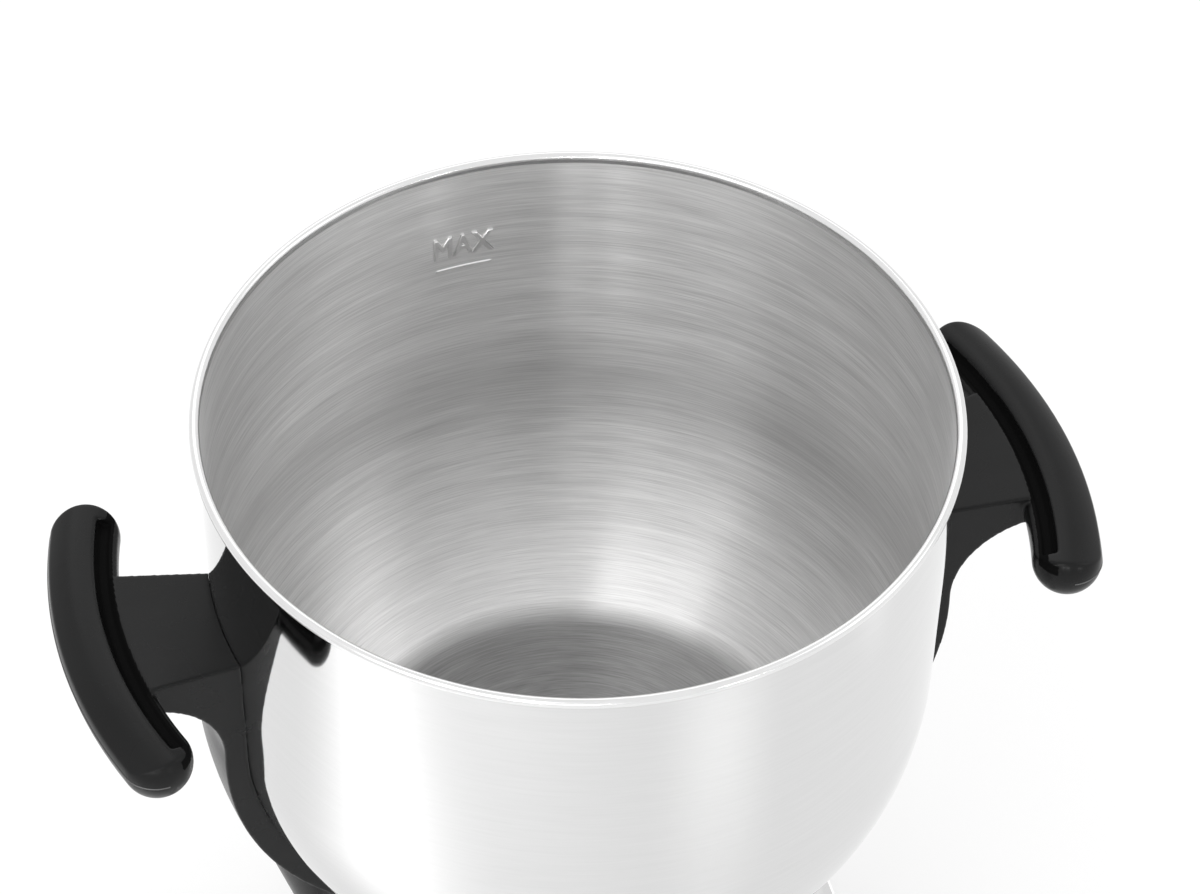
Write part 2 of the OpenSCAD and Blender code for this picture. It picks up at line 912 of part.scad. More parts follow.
// Silicone plug that closes the seat, held on the stem's lower end
module seat_plug() {
    color("#c9c4b8")
    translate([0, -tap_reach, 0])
        difference() {
            rotate_extrude()
                polygon([
                    [0, seat_z + 2], [7, seat_z + 2], [8, seat_z + 3], [8, seat_z + 8],
                    [6.5, collar_z - 2], [0, collar_z - 2]
                ]);
            translate([0, 0, seat_z + 4])
                cylinder(r = stem_r + 0.01, h = 20);
        }
}

// Coil spring between the stem's collar and the bonnet's roof
spring_low = collar_z + spring_wire / 2 + 0.1;
spring_high = bonnet_top_z - bonnet_roof - spring_wire / 2 - 0.1;
spring_pitch = (spring_high - spring_low) / spring_turns;
echo(least_gap_between_spring_turns = spring_pitch - spring_wire);

module tap_spring() {
    steps = 12 * spring_turns;
    color("silver")
    translate([0, -tap_reach, 0])
        tube([
            for (i = [0 : steps])
                let(turn = 30 * i)
                [spring_r * cos(turn), spring_r * sin(turn), lerp(spring_low, spring_high, i / steps)]
        ], spring_wire / 2);
}

// Point of the cam that touches the bonnet when the lever has turned by an angle.
// The stem rises in step with the angle, so the cam is an involute about the pin.
function cam_point(turn) =
    let(height = cam_base + cam_rate * turn * PI / 180)
    [-height * sin(turn) - cam_rate * cos(turn), -height * cos(turn) + cam_rate * sin(turn)];

// Side view of the lever about its pin: y forwards is negative
module lever_side() {
    steps = 8;
    ahead = [-cos(lever_rise), sin(lever_rise)];
    above = [sin(lever_rise), cos(lever_rise)];
    tip = ahead * lever_len;
    polygon(concat(
        [[6, -cam_base]],
        [for (i = [0 : steps]) cam_point(lever_swing * i / steps)],
        [ahead * 30 - above * 3, tip - above * 1.5, tip + above * 3, ahead * 30 + above * 4.5],
        [ahead * 6 + above * 6.5, [2, 6.6], [6, 4]]
    ));
}

// Lever seen square to its arm: a fork that widens to a thumb paddle
module lever_plan() {
    polygon([
        [-10, -cheek_x], [24, -cheek_x], [lever_len - 16, -11], [lever_len - 11, -11],
        [lever_len - 11, 11], [lever_len - 16, 11], [24, cheek_x], [-10, cheek_x]
    ]);
    translate([lever_len - 11, 0])
        circle(11);
}

module tap_lever() {
    color("lightgray")
    translate([0, -tap_reach, pin_z])
        difference() {
            intersection() {
                translate([-12, 0, 0])
                    rotate([90, 0, 90])
                        linear_extrude(height = 24)
                            lever_side();
                rotate([-lever_rise, 0, 0])
                    rotate([0, 0, -90])
                        translate([0, 0, -40])
                            linear_extrude(height = 80)
                                lever_plan();
            }
            box([-cheek_gap, -9.8, -20], [cheek_gap, 20, 20]);
            translate([-20, 0, 0])
                rotate([0, 90, 0])
                    cylinder(r = pin_r + 0.06, h = 40);
        }
}

module lever_pin() {
    color("silver")
    translate([-cheek_x - 0.6, -tap_reach, pin_z])
        rotate([0, 90, 0])
            cylinder(r = pin_r, h = 2 * cheek_x + 1.2);
}

vessel();
vessel_bowl();
vessel_floor();
tap_bush();
handle_left();
handle_right();
handle_tongues();
handle_spuds();
handle_screws();
base_gasket();
heater_plate();
heating_element();
thermal_cutout();
thermostat_bulb();
tie_rod();
tie_nuts();
clamp_bar();
pedestal();
base_housing();
base_plate();
base_screws();
feet();
thermostat();
thermostat_shaft();
control_knob();
dial_ring();
lamp_holder();
lamp_lens();
switch_housing();
switch_rocker();
inlet_housing();
inlet_pins();
inlet_screws();
tap_body();
tap_washers();
tap_nut();
tap_bonnet();
tap_stem();
seat_plug();
tap_spring();
tap_lever();
lever_pin();
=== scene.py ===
"""Looks of an electric samovar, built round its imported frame. Metres, +Z up, tap towards -Y, handles on X."""
import json
import math

import bmesh
import bpy
from mathutils import Matrix, Vector
from mathutils.bvhtree import BVHTree

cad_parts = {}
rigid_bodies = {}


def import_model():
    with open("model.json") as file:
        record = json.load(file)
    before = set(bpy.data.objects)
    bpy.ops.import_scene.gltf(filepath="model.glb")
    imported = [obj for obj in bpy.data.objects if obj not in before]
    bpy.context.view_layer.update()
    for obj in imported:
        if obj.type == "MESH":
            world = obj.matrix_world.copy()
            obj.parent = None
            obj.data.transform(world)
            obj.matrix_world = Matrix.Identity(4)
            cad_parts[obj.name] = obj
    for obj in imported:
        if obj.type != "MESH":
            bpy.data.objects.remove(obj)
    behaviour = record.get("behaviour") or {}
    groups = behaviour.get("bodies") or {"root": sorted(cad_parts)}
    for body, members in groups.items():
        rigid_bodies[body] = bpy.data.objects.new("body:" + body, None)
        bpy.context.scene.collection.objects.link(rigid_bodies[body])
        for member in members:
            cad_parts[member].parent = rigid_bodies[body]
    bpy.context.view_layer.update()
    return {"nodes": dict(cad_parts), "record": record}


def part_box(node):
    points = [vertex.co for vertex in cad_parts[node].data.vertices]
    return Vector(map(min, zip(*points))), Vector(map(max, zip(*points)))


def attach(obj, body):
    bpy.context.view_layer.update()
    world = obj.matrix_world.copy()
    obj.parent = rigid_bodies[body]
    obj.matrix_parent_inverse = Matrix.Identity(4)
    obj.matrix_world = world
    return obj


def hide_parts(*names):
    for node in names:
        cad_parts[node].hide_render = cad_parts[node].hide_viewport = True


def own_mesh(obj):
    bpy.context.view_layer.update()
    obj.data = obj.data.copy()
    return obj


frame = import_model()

MM = 0.001
SCENE = bpy.context.scene

# Camera, measured from the ellipse of the rim and the handles' outlines
IMAGE_WIDTH_PX = 1200
FOCAL_PX = 4750
SENSOR_MM = 36
VIEW_TURN = math.radians(18.167)
VIEW_DOWN = math.radians(45.732)
VIEW_ROLL = math.radians(1.259)
VIEW_DISTANCE = 1.4404
VIEW_END = 50
RIM_RIGHT = -0.0065
RIM_DOWN = -0.0110

# Vessel, as in the part's source
RIM_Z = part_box("vessel")[1].z
RIM_R = 115 * MM
WALL = 1 * MM
BEAD_R = 1.6 * MM
BEAD_INSET = 0.2 * MM
WALL_R = RIM_R + WALL
WALL_TAPER = 2 * MM
BELLY_R = WALL_R - WALL_TAPER
BELLY_START = 101 * MM
BELLY_ROUND = 102.5 * MM
VESSEL_DEPTH = 178 * MM
WALL_LEAN = math.atan((WALL_R - BELLY_R) / BELLY_START)
BELLY_Z = RIM_Z - BELLY_START
FLOOR_Z = RIM_Z - VESSEL_DEPTH - WALL
BELLY_CENTRE = Vector((
    BELLY_R - BELLY_ROUND * math.cos(WALL_LEAN),
    BELLY_Z + BELLY_ROUND * math.sin(WALL_LEAN),
))

# Turned vessel: bead's open arc, floor's soft corner, steps, and the radius below which a ring is one point
BEAD_ARC = (math.radians(-75), math.radians(205))
FLOOR_CORNER = 6 * MM
TURN_STEPS = 320
BELLY_STEPS = 56
WALL_STEPS = 10
BEAD_STEPS = 32
AXIS_R = 0.001 * MM

# Handles, as in the part's source
GRIP_REACH = 153.4 * MM
GRIP_LEN = 117 * MM
GRIP_DROP = 61.5 * MM
GRIP_R = 11 * MM
GROOVE_REACH = (144.2 * MM, 150.2 * MM)
GROOVE_DROP = (55.8 * MM, 58.6 * MM)

# How far off the wall a handle's skin is still drawn to it, and the gap that it keeps
SNUG_REACH = 0.55 * MM
SNUG_GAP = 0.03 * MM

# Line left by the mould: steps along half a grip and round its end
MOULD_LINE_R = 0.22 * MM
MOULD_LINE_STEPS = 24
MOULD_END_STEPS = 12
MOULD_END_TURN = math.radians(80)

# Fill mark on the inside wall, opposite the tap
MARK_AZIMUTH = math.radians(91.8)
MARK_LETTER_H = 8.6 * MM
MARK_LETTERS_W = 20.5 * MM
MARK_LETTERS_DROP = 37 * MM
MARK_LINE_DROP = 42.4 * MM
MARK_LINE_W = 19.5 * MM
MARK_LINE_H = 1.25 * MM
MARK_LINE_SINK = 0.05 * MM
MARK_LINE_BACK = 0.3 * MM
MARK_RELIEF = 0.8 * MM

# Tap
SPRING_TURNS = 7.0
SPRING_WIRE_R = 0.6 * MM
THREAD_R = 7.9 * MM
THREAD_PITCH = 0.75 * MM
THREAD_WIRE_R = 0.3 * MM

# Screws, controls and prints
INLET_HEAD_R = 2.8 * MM
BASE_HEAD_R = 3.6 * MM
CAP_INSET = 0.05 * MM
CAP_SINK = 0.02 * MM
SCALE_TICKS = 11
SCALE_R = 19 * MM
SCALE_LIFT = 0.01 * MM
KNOB_RANGE = math.radians(270)
KNOB_LINE_RISE = 9 * MM
SIGN_RISE = 4.6 * MM

# Pieces that get rounded edges, with the width of the rounding in millimetres
ROUNDED = {
    "tap_bush": 0.5, "base_housing": 0.6, "control_knob": 0.5, "dial_ring": 0.3, "lamp_holder": 0.4,
    "switch_housing": 0.5, "switch_rocker": 0.4, "inlet_housing": 0.5, "tap_body": 0.6, "tap_bonnet": 0.5,
    "tap_lever": 0.9, "tap_nut": 0.5, "feet": 0.4, "clamp_bar": 0.4, "tie_nuts": 0.4,
}
ROUNDED_ABOVE = 32
# Pieces of the tap that are kept out of mirror images, so that the polished wall above the tap stays clear
NOT_MIRRORED = ("tap_body", "tap_lever", "lever_pin", "tap_stem", "seat_plug", "tap_bonnet", "tap_spring")

# Stage
WHITE = (1, 1, 1, 1)
WORLD_LIGHT = 1.0
FLOOR_SIZE = 12
FLOOR_PAINT = (0.96, 0.96, 0.96, 1)
FLOOR_GLOW = 0.5
BASE_AIM = (0, 0, 0.2)
RIM_AIM = (0, 0, 0.3)

# Places of the colour sockets on a Mix node, whose names repeat
MIX_FIRST = 6
MIX_SECOND = 7
MIX_RESULT = 2


# Shader graphs and geometry graphs
class Value:
    """A number, colour or vector that changes over a surface. Operators add Math nodes."""

    def __init__(self, graph, socket):
        self.graph = graph
        self.socket = socket

    def _math(self, operation, first, second):
        return self.graph.add("ShaderNodeMath", {"operation": operation}, {0: first, 1: second})

    def __add__(self, other):
        return self._math("ADD", self, other)

    def __radd__(self, other):
        return self._math("ADD", other, self)

    def __sub__(self, other):
        return self._math("SUBTRACT", self, other)

    def __rsub__(self, other):
        return self._math("SUBTRACT", other, self)

    def __mul__(self, other):
        return self._math("MULTIPLY", self, other)

    def __truediv__(self, other):
        return self._math("DIVIDE", self, other)

    def at_most(self, other):
        return self._math("MINIMUM", self, other)


class Graph:
    """A node tree under construction."""

    def __init__(self, tree):
        self.tree = tree

    def add(self, kind, settings=None, sockets=None, output=0):
        """Adds a node and gives back one output, a list for a tuple of names, or nothing for None."""
        node = self.tree.nodes.new(kind)
        for name, value in (settings or {}).items():
            if name == "stops":
                self.set_stops(node.color_ramp, value)
            else:
                setattr(node, name, value)
        for key, value in (sockets or {}).items():
            self.feed(node.inputs[key], value)
        if output is None:
            return None
        if isinstance(output, tuple):
            return [Value(self, node.outputs[key]) for key in output]
        return Value(self, node.outputs[output])

    def set_stops(self, ramp, stops):
        """Sets a ramp's grey stops, each a place and a level. A new ramp has two."""
        for element, (place, level) in zip(ramp.elements, stops):
            element.position = place
            element.color = (level, level, level, 1)
        for place, level in stops[2:]:
            ramp.elements.new(place).color = (level, level, level, 1)

    def feed(self, socket, value):
        """Links or sets an input. A list is several links into one input."""
        if isinstance(value, list):
            for one in value:
                self.feed(socket, one)
        elif isinstance(value, Value):
            self.tree.links.new(value.socket, socket)
        else:
            socket.default_value = value

    def vector(self, x, y, z):
        return self.add("ShaderNodeCombineXYZ", None, {0: x, 1: y, 2: z})


class Recipe(Graph):
    """A geometry tree with named sizes and counts, which ends in one plain mesh with one finish."""

    def __init__(self, name, *sizes, counts=()):
        super().__init__(bpy.data.node_groups.new(name, "GeometryNodeTree"))
        kinds = {"Geometry": "NodeSocketGeometry"}
        kinds.update((size, "NodeSocketFloat") for size in sizes)
        kinds.update((count, "NodeSocketInt") for count in counts)
        for socket, kind in kinds.items():
            self.tree.interface.new_socket(socket, in_out="INPUT", socket_type=kind)
        self.tree.interface.new_socket("Geometry", in_out="OUTPUT", socket_type="NodeSocketGeometry")
        names = tuple(kinds)
        self.size = dict(zip(names, self.add("NodeGroupInput", output=names)))

    def box(self, x, y, z):
        return self.add("GeometryNodeMeshCube", None, {"Size": self.vector(x, y, z)})

    def wire(self, path, radius, sides):
        """A round wire along a path."""
        section = self.add("GeometryNodeCurvePrimitiveCircle", None, {"Resolution": sides, "Radius": radius})
        sockets = {"Curve": path, "Profile Curve": section, "Fill Caps": True}
        return self.add("GeometryNodeCurveToMesh", None, sockets)

    def moved(self, geometry, **sockets):
        return self.add("GeometryNodeTransform", None, {"Geometry": geometry, **sockets})

    def copies(self, geometry, **sockets):
        return self.add("GeometryNodeInstanceOnPoints", None, {"Instance": geometry, **sockets})

    def ends_in(self, geometry, finish):
        whole = self.add("GeometryNodeRealizeInstances", None, {"Geometry": geometry})
        coated = self.add("GeometryNodeSetMaterial", None, {"Geometry": whole, "Material": finish})
        self.add("NodeGroupOutput", None, {"Geometry": coated}, None)
        return self

    def make(self, name, places=((0, 0, 0),), path=False, **sizes):
        """Runs the tree on points, or on a path through them, and keeps the result as a plain mesh."""
        mesh = bpy.data.meshes.new(name)
        edges = [(i, i + 1) for i in range(len(places) - 1)] if path else []
        mesh.from_pydata(places, edges, [])
        made = piece(name, mesh)
        modifier = made.modifiers.new(self.tree.name, "NODES")
        modifier.node_group = self.tree
        for socket in self.tree.interface.items_tree:
            if socket.in_out == "INPUT" and socket.name in sizes:
                modifier[socket.identifier] = sizes[socket.name]
        return settle(made)


class Finish(Graph):
    """A surface finish: a Principled shader with a few things that change over the surface."""

    def __init__(self, name, **constants):
        self.material = bpy.data.materials.new(name)
        self.material.use_nodes = True
        super().__init__(self.material.node_tree)
        self.shader = self.tree.nodes["Principled BSDF"]
        self.set(**constants)

    def set(self, **inputs):
        for socket, value in inputs.items():
            self.feed(self.shader.inputs[socket.replace("_", " ")], value)
        return self

    def place(self):
        """The point on the surface, in the part's own frame."""
        return self.add("ShaderNodeTexCoord", output="Object")

    def parts_of(self, vector):
        return self.add("ShaderNodeSeparateXYZ", None, {0: vector}, ("X", "Y", "Z"))

    def grain(self, vector, scale, detail=3.0, roughness=0.5):
        sockets = {"Vector": vector, "Scale": scale, "Detail": detail, "Roughness": roughness}
        return self.add("ShaderNodeTexNoise", None, sockets)

    def around(self):
        """Direction round the vessel's axis and the way along its outline, both free of seams."""
        x, y, z = self.parts_of(self.place())
        flat = self.vector(x, y, 0)
        radius = self.add("ShaderNodeVectorMath", {"operation": "LENGTH"}, {0: flat}, "Value")
        way_per_radius = 0.9
        return x / radius, y / radius, z + radius * way_per_radius

    def ring_grain(self, around, along, across, detail=3.0, roughness=0.5):
        """Grain drawn out round the vessel's axis, as brushing and polishing leave it."""
        x, y, way = around
        return self.grain(self.vector(x * along, y * along, way * across), 1.0, detail, roughness)

    def ramp(self, value, *stops):
        return self.add("ShaderNodeValToRGB", {"stops": stops}, {0: value})

    def blend(self, factor, first, second):
        first, second = (colour if isinstance(colour, Value) else (*colour, 1) for colour in (first, second))
        sockets = {"Factor": factor, MIX_FIRST: first, MIX_SECOND: second}
        return self.add("ShaderNodeMix", {"data_type": "RGBA"}, sockets, MIX_RESULT)

    def relief(self, height, depth, strength=0.5):
        """Fine relief of a set depth in metres, which completes the finish."""
        sockets = {"Height": height, "Distance": depth, "Strength": strength}
        self.set(Normal=self.add("ShaderNodeBump", None, sockets))
        return self.material


def grey(level, tint=0.0):
    """A grey, bluer for a tint above 0 and warmer below."""
    return (level * (1 - tint), level, level * (1 + tint))


def steel_grey(level):
    return grey(level, -0.003)


# Metals
def brushed_inside():
    """Inside of the vessel: brushed round and round, with painted shade darkening the colour at the belly's
    turn, and dark on the floor.
    """
    made = Finish("brushed_inside", Metallic=1.0, Anisotropic=0.97, Anisotropic_Rotation=0.25)
    around = made.around()
    fine = made.ring_grain(around, along=4, across=2400, detail=4.0, roughness=0.65)
    broad = made.ring_grain(around, along=3, across=420, roughness=0.55)
    rings = made.ring_grain(around, along=0.7, across=120, detail=2.0)
    cloud = made.ring_grain(around, along=1.5, across=22, detail=2.0)
    streak = fine * 0.56 + broad * 0.2 + rings * 0.14 + cloud * 0.1
    shade = made.ramp(streak, (0.38, 0.0), (0.62, 1.0))
    steel = made.blend(shade, steel_grey(0.67), steel_grey(0.95))
    # darker steel colour on the vessel's floor, blended in over the first few millimetres above it
    floor = made.blend(shade, steel_grey(0.23), steel_grey(0.36))
    height = made.parts_of(made.place())[2]
    floor_span = 10 * MM
    floor_share = made.ramp((height - FLOOR_Z - WALL) / floor_span, (0.05, 1.0), (0.5, 0.0))
    # painted shade: a band of darker steel colour at the belly's turn stands in for the shade that falls there
    turn_shade_span = 125 * MM
    turn = made.ramp((height - BELLY_Z) / turn_shade_span + 0.5, (0.38, 0.0), (0.52, 1.0), (0.72, 0.0))
    steel = made.blend(turn * 0.32, steel, steel_grey(0.60))
    made.set(Base_Color=made.blend(floor_share, steel, floor), Roughness=0.25 + streak * 0.18)
    return made.relief(fine * 0.7 + broad * 0.3, depth=0.02 * MM)


def polished_outside():
    """Outside of the vessel and pedestal: mirror polish with faint polishing lines."""
    made = Finish("polished_outside", Metallic=1.0, Anisotropic=0.3, Anisotropic_Rotation=0.25)
    lines = made.ring_grain(made.around(), along=5, across=900)
    wave = made.grain(made.place(), 9.0, detail=1.0)
    smear = made.grain(made.place(), 40.0)
    made.set(
        Base_Color=made.blend(lines, grey(0.64), grey(0.69)),
        Roughness=0.03 + smear * 0.03 + lines * 0.02,
    )
    return made.relief(wave + lines * 0.012, depth=0.07 * MM)


def plain_steel():
    """Zinc-plated and turned steel of screws, nuts, rods and plates."""
    made = Finish("plain_steel", Metallic=1.0)
    point = made.place()
    spots = made.grain(point, 260.0, detail=4.0)
    cloud = made.grain(point, 45.0)
    made.set(Base_Color=made.blend(cloud, grey(0.48, 0.01), grey(0.64)), Roughness=0.26 + spots * 0.2)
    return made.relief(spots, depth=0.02 * MM)


def chrome():
    """Satin chrome of the tap."""
    made = Finish("chrome", Metallic=1.0)
    point = made.place()
    wave = made.grain(point, 30.0, detail=2.0)
    smear = made.grain(point, 140.0, detail=4.0)
    made.set(Base_Color=made.blend(smear, grey(0.40), grey(0.50)), Roughness=0.12 + smear * 0.12)
    return made.relief(wave, depth=0.04 * MM)


def rolled_rim():
    """Rolled rim, a little duller than the wall below it."""
    made = Finish("rolled_rim", Metallic=1.0)
    lines = made.ring_grain(made.around(), along=8, across=1500)
    made.set(Base_Color=made.blend(lines, grey(0.72), grey(0.82)), Roughness=0.16 + lines * 0.08)
    return made.relief(lines, depth=0.01 * MM)


def pressed_steel():
    """Smooth steel of the pressed fill mark, whose slopes catch light and dark."""
    made = Finish("pressed_steel", Metallic=1.0)
    spots = made.grain(made.place(), 900.0)
    made.set(Base_Color=made.blend(spots, steel_grey(0.74), steel_grey(0.86)), Roughness=0.26 + spots * 0.1)
    return made.relief(spots, depth=0.01 * MM)


def cast_aluminium():
    """Pitted casting of the heater plate."""
    made = Finish("cast_aluminium", Metallic=1.0)
    point = made.place()
    pits = made.grain(point, 900.0, detail=4.0)
    cloud = made.grain(point, 60.0)
    made.set(Base_Color=made.blend(cloud, grey(0.48), grey(0.62)), Roughness=0.42 + pits * 0.2)
    return made.relief(pits, depth=0.08 * MM, strength=0.6)


def tinted_metal(name, dark, light, rough):
    """Brass and copper, a little tarnished."""
    made = Finish(name, Metallic=1.0)
    point = made.place()
    tarnish = made.ramp(made.grain(point, 120.0, detail=5.0, roughness=0.6), (0.35, 0.0), (0.7, 1.0))
    made.set(Base_Color=made.blend(tarnish, light, dark), Roughness=rough + tarnish * 0.15)
    return made.relief(made.grain(point, 700.0), depth=0.02 * MM)


# Plastics, rubber and the like
def moulded(name, dark, light, rough, grain, depth, shine=0.4):
    """A moulded plastic with a fine skin, small cloudy changes of gloss and a few dust specks."""
    made = Finish(name, Specular_IOR_Level=shine)
    point = made.place()
    skin = made.grain(point, grain, roughness=0.6)
    cloud = made.grain(point, 38.0, detail=4.0)
    specks = made.ramp(made.grain(point, 1300.0, detail=1.0), (0.76, 0.0), (0.82, 1.0))
    made.set(
        Base_Color=made.blend(cloud * 0.8 + specks * 0.2, dark, light),
        Roughness=rough + cloud * 0.14 + specks * 0.15,
    )
    return made.relief(skin, depth, strength=0.6)


def amber_lens():
    """Swirled amber plastic of the pilot lamp."""
    made = Finish("amber_lens", IOR=1.49, Transmission_Weight=0.35, Coat_Weight=0.4)
    swirl = made.grain(made.place(), 420.0)
    made.set(
        Base_Color=made.blend(swirl, (0.72, 0.10, 0.012), (0.95, 0.24, 0.03)),
        Roughness=0.12 + swirl * 0.12,
    )
    return made.relief(swirl, depth=0.04 * MM)


def printed_ink(name, level):
    """Screen print, with slightly uneven cover."""
    made = Finish(name)
    cover = made.grain(made.place(), 1500.0, detail=4.0)
    made.set(Base_Color=made.blend(cover, grey(level * 0.85), grey(level)), Roughness=0.4 + cover * 0.25)
    return made.relief(cover, depth=0.01 * MM)


FINISH = {
    "brushed_inside": brushed_inside(),
    "pressed_steel": pressed_steel(),
    "rolled_rim": rolled_rim(),
    "polished_steel": polished_outside(),
    "plain_steel": plain_steel(),
    "chrome": chrome(),
    "handle_plastic": moulded(
        "handle_plastic", grey(0.005), grey(0.009, 0.03),
        rough=0.2, grain=1500.0, depth=0.012 * MM, shine=0.18,
    ),
    # painted shade: a darker, barely shiny plastic for the channel along the grip stands in for the shade in
    # its depth
    "groove_plastic": moulded(
        "groove_plastic", grey(0.003), grey(0.005), rough=0.6, grain=1500.0, depth=0.012 * MM, shine=0.03,
    ),
    # the mould line's plastic is far lighter than the handle's: a real ridge, with a painted highlight in its
    # colour
    "mould_line": moulded(
        "mould_line", grey(0.07), grey(0.12), rough=0.25, grain=1500.0, depth=0.01 * MM, shine=0.5,
    ),
    "base_plastic": moulded(
        "base_plastic", grey(0.014), grey(0.022, 0.03), rough=0.42, grain=900.0, depth=0.06 * MM,
    ),
    "electric_plastic": moulded(
        "electric_plastic", grey(0.022), grey(0.034, 0.02), rough=0.36, grain=1100.0, depth=0.03 * MM,
    ),
    "ceramic": moulded(
        "ceramic", (0.60, 0.56, 0.47), (0.72, 0.69, 0.60), rough=0.55, grain=700.0, depth=0.05 * MM,
    ),
    "aluminium": cast_aluminium(),
    "copper": tinted_metal("copper", (0.40, 0.17, 0.09), (0.66, 0.34, 0.20), rough=0.24),
    "brass": tinted_metal("brass", (0.50, 0.34, 0.12), (0.78, 0.58, 0.26), rough=0.22),
    "rubber": moulded("rubber", grey(0.020), grey(0.034), rough=0.62, grain=800.0, depth=0.05 * MM),
    "silicone": moulded(
        "silicone", (0.52, 0.48, 0.42), (0.62, 0.58, 0.52), rough=0.48, grain=600.0, depth=0.03 * MM,
    ),
    "amber_lens": amber_lens(),
}
WHITE_INK = printed_ink("white_ink", 0.80)
BLACK_INK = printed_ink("black_ink", 0.03)
SLOT_OF = {row["node"]: row["material_slot"] for row in frame["record"]["subparts"]}
BODY_OF = {node: body for body, nodes in frame["record"]["behaviour"]["bodies"].items() for node in nodes}


# Pieces
def piece(name, mesh, *finishes):
    """Puts a mesh into the scene as a piece of its own."""
    made = bpy.data.objects.new(name, mesh)
    SCENE.collection.objects.link(made)
    for finish in finishes:
        mesh.materials.append(finish)
    return made


def finished(bm, name):
    """Turns a mesh under construction into a finished one."""
    mesh = bpy.data.meshes.new(name)
    bm.to_mesh(mesh)
    bm.free()
    return mesh


def settle(made):
    """Turns a piece's modifiers into a plain mesh."""
    evaluated = made.evaluated_get(bpy.context.evaluated_depsgraph_get())
    mesh = bpy.data.meshes.new_from_object(evaluated)
    made.modifiers.clear()
    made.data = mesh
    return made


def thicken(made, thickness):
    """Gives a sheet a back."""
    thick = made.modifiers.new("back", "SOLIDIFY")
    thick.thickness = thickness
    thick.offset = -1
    return settle(made)


def smooth(made, sharp_above):
    """Shades a piece smoothly, but for edges that turn by more than an angle in degrees."""
    made.data.shade_smooth()
    made.data.set_sharp_from_angle(angle=math.radians(sharp_above))
    return made


def repaint(made, *finishes):
    """Takes a piece's finishes off and gives it others."""
    made.data.materials.clear()
    for finish in finishes:
        made.data.materials.append(finish)


def stand(made, place, turn=Matrix.Identity(4)):
    """Puts a mesh in its place, with its object left at the origin."""
    made.data.transform(Matrix.Translation(place) @ turn)


def join_frame(made, body, slot, *nodes):
    """Makes a piece move with a body and stand for nodes of the frame, which it hides. The slot is not used."""
    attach(made, body)
    if nodes:
        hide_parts(*nodes)


# Vessel
def turned(name, outline, *finishes):
    """Turns an outline of (radius, height, finish number) about the vessel's axis."""
    points, faces, numbers, rings = [], [], [], []
    for radius, height, _ in outline:
        steps = 1 if radius < AXIS_R else TURN_STEPS
        rings.append([len(points) + k for k in range(steps)])
        for k in range(steps):
            turn = math.tau * k / TURN_STEPS
            points.append((radius * math.cos(turn), radius * math.sin(turn), height))
    for below, above, (_, _, number) in zip(rings, rings[1:], outline):
        for k in range(TURN_STEPS):
            low = [below[k % len(below)], below[(k + 1) % len(below)]]
            high = [above[(k + 1) % len(above)], above[k % len(above)]]
            faces.append(list(dict.fromkeys(low + high)))
            numbers.append(number)
    mesh = bpy.data.meshes.new(name)
    mesh.from_pydata(points, [], faces)
    made = piece(name, mesh, *finishes)
    mesh.polygons.foreach_set("material_index", numbers)
    return made


def arc(centre, radius, first, last, steps):
    """Points of an arc in the plane, angles in radians."""
    for i in range(steps + 1):
        turn = first + (last - first) * i / steps
        yield centre[0] + radius * math.cos(turn), centre[1] + radius * math.sin(turn)


def bend(start, corner, end, steps=6):
    """Points of a soft corner between two points."""
    for i in range(steps + 1):
        t = i / steps
        yield tuple((1 - t) ** 2 * a + 2 * t * (1 - t) * b + t * t * c for a, b, c in zip(start, corner, end))


def half_wall(grow, corner_round):
    """Outline of the vessel from the middle of the floor to the top of the wall, grown outwards."""
    round_r = BELLY_ROUND + grow
    low = FLOOR_Z - grow
    floor_turn = math.asin((low - BELLY_CENTRE[1]) / round_r)
    corner = (BELLY_CENTRE[0] + round_r * math.cos(floor_turn), low)
    belly = list(arc(BELLY_CENTRE, round_r, floor_turn + corner_round / round_r, -WALL_LEAN, BELLY_STEPS))
    yield 0.0, low
    yield from ((corner[0] * share, low) for share in (0.25, 0.5, 0.75))
    yield from bend((corner[0] - corner_round, low), corner, belly[0])
    yield from belly[1:]
    foot_r, foot_z = belly[-1]
    top_z = RIM_Z - 2 * BEAD_R
    heights = [foot_z + (top_z - foot_z) * i / WALL_STEPS for i in range(1, WALL_STEPS)]
    for height in heights + [top_z - BEAD_R / 2, top_z]:
        yield foot_r + (height - foot_z) * math.tan(WALL_LEAN), height


def rod(name, radius, start, end, sides=64):
    """A plain closed cylinder between two points."""
    start, end = Vector(start), Vector(end)
    bm = bmesh.new()
    length = (end - start).length
    bmesh.ops.create_cone(bm, cap_ends=True, segments=sides, radius1=radius, radius2=radius, depth=length)
    turn = (end - start).to_track_quat("Z", "Y").to_matrix().to_4x4()
    bmesh.ops.transform(bm, matrix=Matrix.Translation((start + end) / 2) @ turn, verts=bm.verts)
    return piece(name, finished(bm, name))


